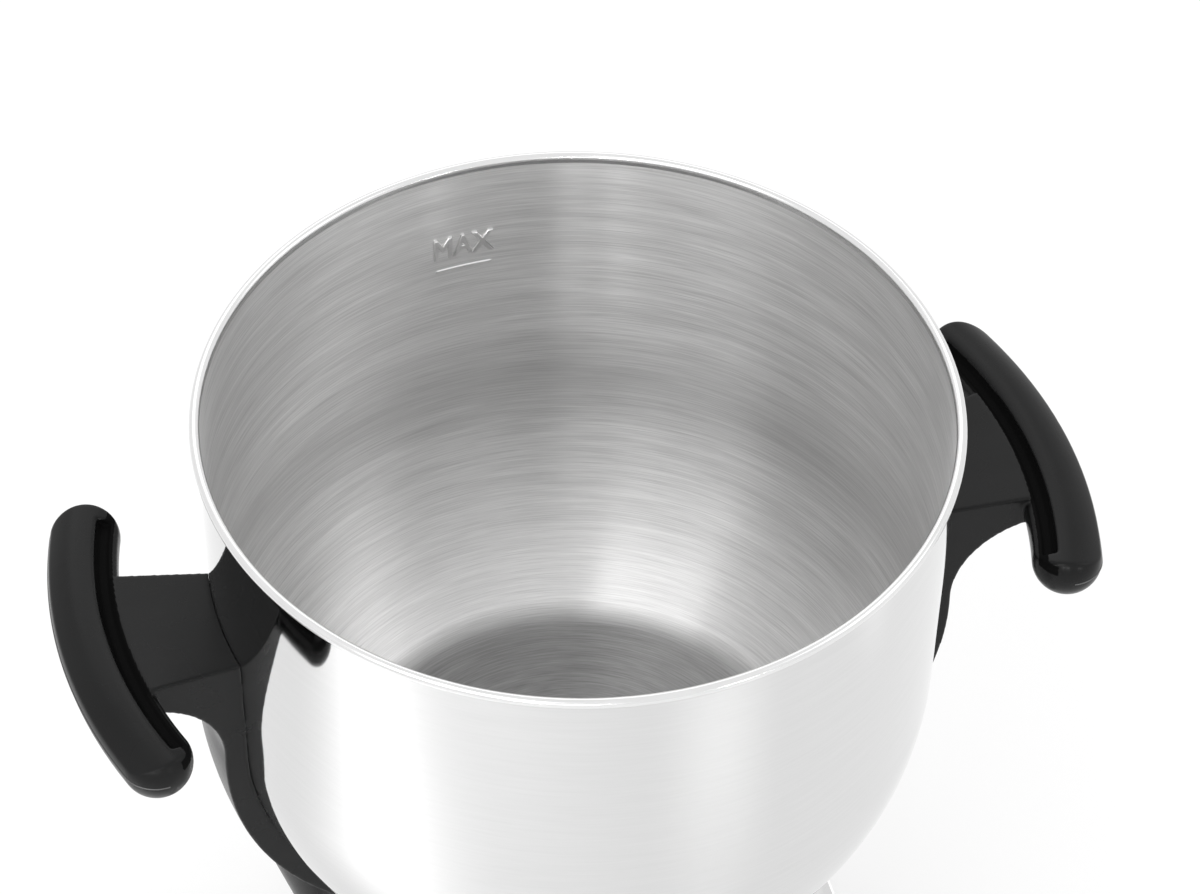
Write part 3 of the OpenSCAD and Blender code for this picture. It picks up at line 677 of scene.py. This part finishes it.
def make_vessel():
    """Drawn steel vessel with a rolled rim, polished outside and brushed inside, bored for the tap's bush."""
    bead_centre = (RIM_R + BEAD_R - BEAD_INSET, RIM_Z - BEAD_R)
    outside = [(r, z, 0) for r, z in half_wall(0, FLOOR_CORNER)]
    inside = [(r, z, 1) for r, z in half_wall(-WALL, FLOOR_CORNER - WALL)][::-1]
    bead = [(r, z, 2) for r, z in arc(bead_centre, BEAD_R, *BEAD_ARC, BEAD_STEPS)]
    finishes = [FINISH[name] for name in ("polished_steel", "brushed_inside", "rolled_rim")]
    shell = turned("vessel_shell", outside + bead + inside, *finishes)
    low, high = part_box("tap_bush")
    tap_z = (low.z + high.z) / 2
    bush_r = (high.z - low.z) / 2
    overlap = 0.1 * MM
    past = 4 * MM
    cutter = rod("bush_cutter", bush_r - overlap, (0, high.y + past, tap_z), (0, low.y - past, tap_z))
    cut = shell.modifiers.new("bush_hole", "BOOLEAN")
    cut.object = cutter
    cut.solver = "EXACT"
    settle(shell)
    bpy.data.objects.remove(cutter)
    join_frame(smooth(shell, 50), "samovar", "polished_steel", "vessel", "vessel_bowl", "vessel_floor")


# Fill mark
def wall_inside(height):
    """Inside radius of the straight wall at a height."""
    return BELLY_R - WALL + (height - BELLY_Z) * math.tan(WALL_LEAN)


def on_wall(mesh, centre_height, sink):
    """Bends a flat mesh, X across and Y up and Z out of the wall, onto the inside wall at the fill mark."""
    for vertex in mesh.vertices:
        across, up, out = vertex.co
        height = centre_height + up
        radius = wall_inside(height) - out + sink
        turn = MARK_AZIMUTH - across / RIM_R
        vertex.co = (radius * math.cos(turn), radius * math.sin(turn), height)


def fill_word():
    """The word MAX with sloping sides, raised from the wall."""
    text = bpy.data.curves.new("fill_word", "FONT")
    text.body = "MAX"
    text.align_x = "CENTER"
    text.extrude = 0.03
    text.bevel_depth = 0.035
    text.bevel_resolution = 2
    text.space_character = 1.1
    word = bpy.data.objects.new("fill_word", text)
    SCENE.collection.objects.link(word)
    mesh = bpy.data.meshes.new_from_object(word.evaluated_get(bpy.context.evaluated_depsgraph_get()))
    bpy.data.objects.remove(word)
    size = (MARK_LETTERS_W, MARK_LETTER_H, 2 * MARK_RELIEF)
    spans = [(min(v.co[i] for v in mesh.vertices), max(v.co[i] for v in mesh.vertices)) for i in range(3)]
    for vertex in mesh.vertices:
        share = [(place - least) / (most - least) for place, (least, most) in zip(vertex.co, spans)]
        share[0] -= 0.5
        vertex.co = [part * length for part, length in zip(share, size)]
    on_wall(mesh, RIM_Z - MARK_LETTERS_DROP, MARK_RELIEF)
    return smooth(piece("fill_mark_word", mesh, FINISH["pressed_steel"]), 50)


def fill_line():
    """The line below the word, crowned across and square at its ends."""
    end_power = 30
    bm = bmesh.new()
    bmesh.ops.create_grid(bm, x_segments=48, y_segments=6, size=0.5)
    for vertex in bm.verts:
        crown = max(0.0, 1 - (2 * vertex.co.y) ** 2) * max(0.0, 1 - (2 * vertex.co.x) ** end_power)
        vertex.co = (vertex.co.x * MARK_LINE_W, vertex.co.y * MARK_LINE_H, crown * MARK_RELIEF / 2)
    mesh = finished(bm, "fill_mark_line")
    on_wall(mesh, RIM_Z - MARK_LINE_DROP, MARK_LINE_SINK)
    return smooth(thicken(piece("fill_mark_line", mesh, FINISH["pressed_steel"]), MARK_LINE_BACK), 60)


def make_fill_mark():
    """Raised fill mark: a word over a line, pressed into the wall."""
    for made in (fill_word(), fill_line()):
        join_frame(made, "samovar", "polished_steel")


# Handles
def copy_of(node):
    """A welded copy of a node's mesh, with flat faces made whole."""
    bm = bmesh.new()
    bm.from_mesh(frame["nodes"][node].data)
    bmesh.ops.remove_doubles(bm, verts=bm.verts, dist=2e-6)
    bmesh.ops.dissolve_limit(bm, angle_limit=math.radians(0.6), verts=bm.verts, edges=bm.edges)
    mesh = finished(bm, node + "_copy")
    if "custom_normal" in mesh.attributes:
        mesh.attributes.remove(mesh.attributes["custom_normal"])
    mesh.materials.clear()
    return mesh


def in_groove(point):
    """1 for a point in the channel along the grip, and 0 elsewhere."""
    reach = math.hypot(point.x, point.y)
    drop = RIM_Z - point.z
    return int(GROOVE_REACH[0] < reach < GROOVE_REACH[1] and GROOVE_DROP[0] < drop < GROOVE_DROP[1])


def snug_to_wall(point):
    """Moves a point that is almost on the vessel's outside onto it, and those just beyond part of the way."""
    radius = math.hypot(point.x, point.y)
    from_centre = Vector((radius, point.z)) - BELLY_CENTRE
    if point.z < BELLY_Z:
        gap = from_centre.length - BELLY_ROUND
        inwards = -from_centre.normalized()
    else:
        gap = radius - BELLY_R - (point.z - BELLY_Z) * math.tan(WALL_LEAN)
        inwards = Vector((-1, 0))
    pull = min(1.0, max(0.0, 2 - gap / SNUG_REACH))
    step = inwards * (gap - SNUG_GAP) * pull
    share = (radius + step.x) / radius
    return Vector((point.x * share, point.y * share, point.z + step.y))


def make_handle(node):
    """Moulded handle: the frame's form with the soft edges of a moulding, snug against the vessel's wall."""
    made = piece(node + "_moulding", copy_of(node), FINISH["handle_plastic"])
    voxels = made.modifiers.new("voxels", "REMESH")
    voxels.mode = "VOXEL"
    voxels.voxel_size = 0.34 * MM
    soft = made.modifiers.new("soft", "SMOOTH")
    soft.factor = 0.5
    soft.iterations = 20
    fewer = made.modifiers.new("fewer", "DECIMATE")
    fewer.ratio = 0.25
    settle(made)
    for vertex in made.data.vertices:
        vertex.co = snug_to_wall(vertex.co)
    # faces in the channel along the grip get the painted shade
    repaint(made, FINISH["handle_plastic"], FINISH["groove_plastic"])
    for face in made.data.polygons:
        face.material_index = in_groove(face.center)
    made.data.shade_smooth()
    join_frame(made, "samovar", "handle_plastic", node)


def make_mould_lines(ridge):
    """Line that the mould's two halves leave round the outside of each grip."""
    half_turn = math.asin((GRIP_LEN / 2 - GRIP_R) / GRIP_REACH)
    steps = MOULD_LINE_STEPS + MOULD_END_STEPS
    for side, name in ((-1, "left_grip_mould_line"), (1, "right_grip_mould_line")):
        places = []
        for i in range(-steps, steps + 1):
            turn = half_turn * max(-1, min(1, i / MOULD_LINE_STEPS))
            past = math.copysign(max(0, abs(i) - MOULD_LINE_STEPS) / MOULD_END_STEPS, i) * MOULD_END_TURN
            out = Vector((side * math.cos(turn), math.sin(turn), 0))
            along = Vector((-side * math.sin(turn), math.cos(turn), 0))
            point = out * GRIP_REACH + (out * math.cos(past) + along * math.sin(past)) * GRIP_R
            places.append((point.x, point.y, RIM_Z - GRIP_DROP))
        made = ridge.make(name, places, path=True, Wire=MOULD_LINE_R)
        join_frame(smooth(made, 60), "samovar", "handle_plastic")


# Repeats
def coil_recipe():
    """A round wire wound on a cylinder, for the tap's spring and for screw threads."""
    made = Recipe("coil", "Turns", "Radius", "Height", "Wire")
    sockets = {
        "Resolution": 40, "Rotations": made.size["Turns"], "Start Radius": made.size["Radius"],
        "End Radius": made.size["Radius"], "Height": made.size["Height"],
    }
    path = made.add("GeometryNodeCurveSpiral", None, sockets)
    return made.ends_in(made.wire(path, made.size["Wire"], sides=12), FINISH["plain_steel"])


def ridge_recipe():
    """A fine round ridge along a path."""
    made = Recipe("ridge", "Wire")
    path = made.add("GeometryNodeMeshToCurve", None, {"Mesh": made.size["Geometry"]})
    # the ridge takes the lighter mould-line plastic, a painted highlight along it
    return made.ends_in(made.wire(path, made.size["Wire"], sides=8), FINISH["mould_line"])


def screw_recipe():
    """Domed caps with a cross slot, for the heads of screws that point up."""
    made = Recipe("screw_caps", "Radius", "Dome", "Slot")
    radius, dome, slot = (made.size[name] for name in ("Radius", "Dome", "Slot"))
    ball = made.add("GeometryNodeMeshUVSphere", None, {"Segments": 32, "Rings": 16, "Radius": radius})
    cap = made.moved(ball, Scale=made.vector(1.0, 1.0, dome / radius))
    length, depth = radius * 1.3, dome * 4
    lift = made.vector(0.0, 0.0, dome * 2.1)
    sizes = ((length, slot, depth), (slot, length, depth))
    bars = [made.moved(made.box(*size), Translation=lift) for size in sizes]
    cross = made.add("GeometryNodeJoinGeometry", None, {"Geometry": bars})
    sockets = {"Mesh 1": cap, "Mesh 2": cross}
    cut = made.add("GeometryNodeMeshBoolean", {"operation": "DIFFERENCE"}, sockets)
    return made.ends_in(made.copies(cut, Points=made.size["Geometry"]), FINISH["plain_steel"])


def tick_recipe():
    """Short printed bars round an arc that starts at the top, for the dial."""
    made = Recipe("dial_ticks", "Radius", "Sweep", "Length", "Width", "Thick", counts=("Count",))
    size = made.size
    sockets = {
        "Resolution": size["Count"], "Radius": size["Radius"],
        "Start Angle": math.pi / 2 - size["Sweep"], "Sweep Angle": size["Sweep"],
    }
    path = made.add("GeometryNodeCurveArc", None, sockets)
    outputs = ("Points", "Rotation")
    points, turns = made.add("GeometryNodeCurveToPoints", {"mode": "EVALUATED"}, {"Curve": path}, outputs)
    bar = made.box(size["Length"], size["Thick"], size["Width"])
    return made.ends_in(made.copies(bar, Points=points, Rotation=turns), BLACK_INK)


# Tap
def make_spring(coil):
    """Wire spring in the tap's bonnet."""
    low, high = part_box("tap_spring")
    middle = (low + high) / 2
    made = coil.make(
        "tap_spring_wire", Turns=SPRING_TURNS, Radius=(high.x - low.x) / 2 - SPRING_WIRE_R,
        Height=high.z - low.z - 2 * SPRING_WIRE_R, Wire=SPRING_WIRE_R,
    )
    stand(made, (middle.x, middle.y, low.z + SPRING_WIRE_R))
    join_frame(smooth(made, 60), "samovar", "plain_steel", "tap_spring")
    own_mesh(made)


def make_shank_thread(coil):
    """Thread on the end of the tap's shank, inside the vessel."""
    body_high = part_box("tap_body")[1]
    nut_low, nut_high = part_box("tap_nut")
    tap_z = (nut_low.z + nut_high.z) / 2
    length = body_high.y - nut_high.y - 2 * THREAD_WIRE_R
    turns = length / THREAD_PITCH
    made = coil.make("tap_shank_thread", Turns=turns, Radius=THREAD_R, Height=length, Wire=THREAD_WIRE_R)
    stand(made, (0, nut_high.y + THREAD_WIRE_R, tap_z), Matrix.Rotation(math.radians(-90), 4, "X"))
    join_frame(smooth(made, 60), "samovar", "plain_steel")


# Screws, controls and prints
def make_screw_caps(caps):
    """Cross-slot caps on the inlet's screws behind and the base's screws below."""
    low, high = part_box("inlet_screws")
    middle_z = (low.z + high.z) / 2
    reach = high.x - INLET_HEAD_R
    sides = [(-reach, 0, 0), (reach, 0, 0)]
    cap_r = INLET_HEAD_R - CAP_INSET
    made = caps.make("inlet_screw_caps", sides, Radius=cap_r, Dome=0.9 * MM, Slot=0.75 * MM)
    stand(made, (0, high.y - CAP_SINK, middle_z), Matrix.Rotation(math.radians(-90), 4, "X"))
    join_frame(smooth(made, 35), "samovar", "plain_steel")
    low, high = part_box("base_screws")
    across, along = high.x - BASE_HEAD_R, high.y - BASE_HEAD_R
    corners = [(x, y, 0) for x in (-across, across) for y in (-along, along)]
    cap_r = BASE_HEAD_R - CAP_INSET
    made = caps.make("base_screw_caps", corners, Radius=cap_r, Dome=1.1 * MM, Slot=0.9 * MM)
    stand(made, (0, 0, low.z + CAP_SINK), Matrix.Rotation(math.pi, 4, "X"))
    join_frame(smooth(made, 35), "samovar", "plain_steel")


def make_dial(ticks):
    """Printed scale on the dial ring, from the top, where the knob rests, clockwise over its range."""
    low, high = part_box("dial_ring")
    middle_z = (low.z + high.z) / 2
    made = ticks.make(
        "dial_scale", Count=SCALE_TICKS, Radius=SCALE_R, Sweep=KNOB_RANGE,
        Length=2.4 * MM, Width=0.7 * MM, Thick=0.05 * MM,
    )
    stand(made, (0, low.y - SCALE_LIFT, middle_z), Matrix.Rotation(math.radians(90), 4, "X"))
    join_frame(made, "samovar", "electric_plastic")


def make_lens():
    """Domed lens of the pilot lamp."""
    low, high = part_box("lamp_lens")
    bm = bmesh.new()
    bmesh.ops.create_uvsphere(bm, u_segments=40, v_segments=20, radius=0.5)
    mesh = finished(bm, "lamp_dome")
    mesh.transform(Matrix.Translation((low + high) / 2) @ Matrix.Diagonal((*(high - low), 1)))
    made = piece("lamp_dome", mesh, FINISH["amber_lens"])
    join_frame(smooth(made, 60), "samovar", "amber_lens", "lamp_lens")


def flat_shape(name, points, ink):
    """A thin printed shape from the points of its outline, X across and Y up."""
    bm = bmesh.new()
    bm.faces.new([bm.verts.new((x, y, 0)) for x, y in points])
    bmesh.ops.triangulate(bm, faces=bm.faces)
    bmesh.ops.subdivide_edges(bm, edges=bm.edges, cuts=3, use_grid_fill=True)
    return piece(name, finished(bm, name), ink)


def print_on(made, node, centre, lift=0.06 * MM):
    """Lays a flat shape on the front of a node, seen along +Y, with a little thickness."""
    solid = frame["nodes"][node].data
    surface = BVHTree.FromPolygons([v.co for v in solid.vertices], [p.vertices for p in solid.polygons])
    for vertex in made.data.vertices:
        start = Vector((centre[0] + vertex.co.x, -1.0, centre[1] + vertex.co.y))
        vertex.co = surface.ray_cast(start, Vector((0, 1, 0)))[0] - Vector((0, lift, 0))
    return thicken(made, lift)


def ring_outline(radius, width, steps=28):
    """Outline of a ring with a hair's gap, so that it is one closed shape."""
    gap = 0.02
    turns = [gap + (math.tau - 2 * gap) * i / steps for i in range(steps + 1)]
    outer = [(radius * math.sin(t), radius * math.cos(t)) for t in turns]
    inner = [((radius - width) * math.sin(t), (radius - width) * math.cos(t)) for t in reversed(turns)]
    return outer + inner


def bar_outline(width, height):
    x, y = width / 2, height / 2
    return [(-x, -y), (x, -y), (x, y), (-x, y)]


def make_prints():
    """White line on the knob's pointer, and the on and off signs of the rocker."""
    low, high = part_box("control_knob")
    knob_z = (low.z + high.z) / 2
    line = flat_shape("knob_line", bar_outline(1.1 * MM, 9 * MM), WHITE_INK)
    print_on(line, "control_knob", (0, knob_z + KNOB_LINE_RISE))
    join_frame(line, "control_knob", "electric_plastic")
    low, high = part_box("switch_rocker")
    middle = (low + high) / 2
    signs = {
        "rocker_on_sign": (bar_outline(0.7 * MM, 3.2 * MM), SIGN_RISE),
        "rocker_off_sign": (ring_outline(1.7 * MM, 0.6 * MM), -SIGN_RISE),
    }
    for name, (outline, rise) in signs.items():
        sign = flat_shape(name, outline, WHITE_INK)
        print_on(sign, "switch_rocker", (middle.x, middle.z + rise))
        join_frame(sign, "switch_rocker", "electric_plastic")


# Nodes of the frame
def soften(node, width):
    """Stands a copy of a node with rounded edges in its place."""
    made = piece(node + "_rounded", copy_of(node), FINISH[SLOT_OF[node]])
    edge = made.modifiers.new("edge", "BEVEL")
    edge.width = width
    edge.segments = 2
    edge.limit_method = "ANGLE"
    edge.angle_limit = math.radians(ROUNDED_ABOVE)
    settle(made)
    repaint(made, FINISH[SLOT_OF[node]])
    join_frame(smooth(made, 35), BODY_OF[node], SLOT_OF[node], node)


def paint_nodes():
    """Gives every node of the frame that still shows its finish."""
    for node, made in frame["nodes"].items():
        repaint(made, FINISH[SLOT_OF[node]])


# Stage
def make_camera():
    """Camera at the photograph's place, aimed so that the rim's middle falls where it does there."""
    across = Vector((math.cos(VIEW_TURN), -math.sin(VIEW_TURN), 0))
    ahead = Vector((
        math.sin(VIEW_TURN) * math.cos(VIEW_DOWN),
        math.cos(VIEW_TURN) * math.cos(VIEW_DOWN),
        -math.sin(VIEW_DOWN),
    ))
    down = ahead.cross(across)
    right = across * math.cos(VIEW_ROLL) - down * math.sin(VIEW_ROLL)
    below = across * math.sin(VIEW_ROLL) + down * math.cos(VIEW_ROLL)
    eye = Vector((0, 0, RIM_Z)) - right * RIM_RIGHT - below * RIM_DOWN - ahead * VIEW_DISTANCE
    lens = bpy.data.cameras.new("camera")
    lens.sensor_fit = "HORIZONTAL"
    lens.sensor_width = SENSOR_MM
    lens.lens = SENSOR_MM * FOCAL_PX / IMAGE_WIDTH_PX
    lens.clip_end = VIEW_END
    camera = bpy.data.objects.new("camera", lens)
    SCENE.collection.objects.link(camera)
    turn = Matrix((right, -below, -ahead)).transposed().to_4x4()
    camera.matrix_world = Matrix.Translation(eye) @ turn
    SCENE.camera = camera


def seen_directly(graph):
    """1 for what is seen straight, in a mirror or through glass, and 0 for light on matt surfaces."""
    rays = ("Is Camera Ray", "Is Glossy Ray", "Is Transmission Ray")
    straight, mirrored, through = graph.add("ShaderNodeLightPath", output=rays)
    return (straight + mirrored + through).at_most(1.0)


def make_world():
    """White all round to the eye and in mirrors, and a plain level of light on matt surfaces."""
    world = bpy.data.worlds.new("studio")
    SCENE.world = world
    world.use_nodes = True
    graph = Graph(world.node_tree)
    graph.tree.nodes.clear()
    light = graph.add("ShaderNodeBackground", None, {"Color": WHITE, "Strength": WORLD_LIGHT})
    white = graph.add("ShaderNodeBackground", None, {"Color": WHITE, "Strength": 1.0})
    mixed = graph.add("ShaderNodeMixShader", None, {0: seen_directly(graph), 1: light, 2: white})
    graph.add("ShaderNodeOutputWorld", None, {"Surface": mixed}, None)


def make_floor():
    """Pale floor, white to the eye, that still takes the object's shadow."""
    bm = bmesh.new()
    bmesh.ops.create_grid(bm, x_segments=1, y_segments=1, size=FLOOR_SIZE)
    material = bpy.data.materials.new("pale_floor")
    material.use_nodes = True
    graph = Graph(material.node_tree)
    graph.tree.nodes.clear()
    matt = graph.add("ShaderNodeBsdfDiffuse", None, {"Color": FLOOR_PAINT})
    glow = graph.add("ShaderNodeEmission", None, {"Color": WHITE, "Strength": 1.0})
    mixed = graph.add("ShaderNodeMixShader", None, {0: seen_directly(graph) * FLOOR_GLOW, 1: matt, 2: glow})
    graph.add("ShaderNodeOutputMaterial", None, {"Surface": mixed}, None)
    floor = piece("floor", finished(bm, "floor"), material)


def make_lamp(name, place, aim, size, watts, spread=180):
    """A soft lamp, out of the camera's sight, with the spread of its light in degrees."""
    data = bpy.data.lights.new(name, "AREA")
    data.shape = "RECTANGLE"
    data.size, data.size_y = size
    data.energy = watts
    data.spread = math.radians(spread)
    lamp = bpy.data.objects.new(name, data)
    SCENE.collection.objects.link(lamp)
    lamp.visible_camera = False
    lamp.location = place
    lamp.rotation_euler = (Vector(aim) - Vector(place)).to_track_quat("-Z", "Y").to_euler()


def make_pool(name, x, y, height, size, watts, spread):
    """A lamp that points straight down, for a pool of light on the floor that the polished wall mirrors."""
    make_lamp(name, (x, y, height), (x, y, 0), size, watts, spread)


make_camera()
make_world()
make_floor()
make_lamp("key_lamp", (-1.7, -1.3, 2.2), BASE_AIM, size=(1.8, 1.8), watts=18)
make_lamp("fill_lamp", (2.0, -0.6, 1.9), BASE_AIM, size=(1.6, 1.6), watts=5)
make_lamp("back_lamp", (0.2, 2.2, 2.0), BASE_AIM, size=(2.0, 1.2), watts=5)
make_lamp("strip_near", (-0.50, -1.94, 0.92), RIM_AIM, size=(0.04, 0.26), watts=1.5)
make_lamp("strip_far", (-0.94, -1.76, 0.92), RIM_AIM, size=(0.04, 0.26), watts=1.5)
make_lamp("strip_right", (0.78, -1.84, 0.60), RIM_AIM, size=(0.14, 0.14), watts=0.9)
make_pool("pool_left", -0.34, -0.10, height=0.34, size=(0.34, 0.10), watts=0.19, spread=40)
make_pool("pool_front", -0.33, -0.27, height=0.6, size=(0.3, 0.3), watts=0.2, spread=60)
make_pool("pool_right", 0.13, -0.33, height=0.3, size=(0.05, 0.05), watts=0.02, spread=40)
make_pool("pool_side", 0.40, -0.12, height=0.3, size=(0.05, 0.05), watts=0.02, spread=30)
SCENE.view_settings.view_transform = "Standard"

paint_nodes()
make_vessel()
make_fill_mark()
make_handle("handle_left")
make_handle("handle_right")
make_mould_lines(ridge_recipe())
coil = coil_recipe()
make_spring(coil)
make_shank_thread(coil)
make_screw_caps(screw_recipe())
make_dial(tick_recipe())
make_lens()
make_prints()
for name, width in ROUNDED.items():
    soften(name, width * MM)
for made in SCENE.objects:
    if made.name.startswith(NOT_MIRRORED):
        made.visible_glossy = False
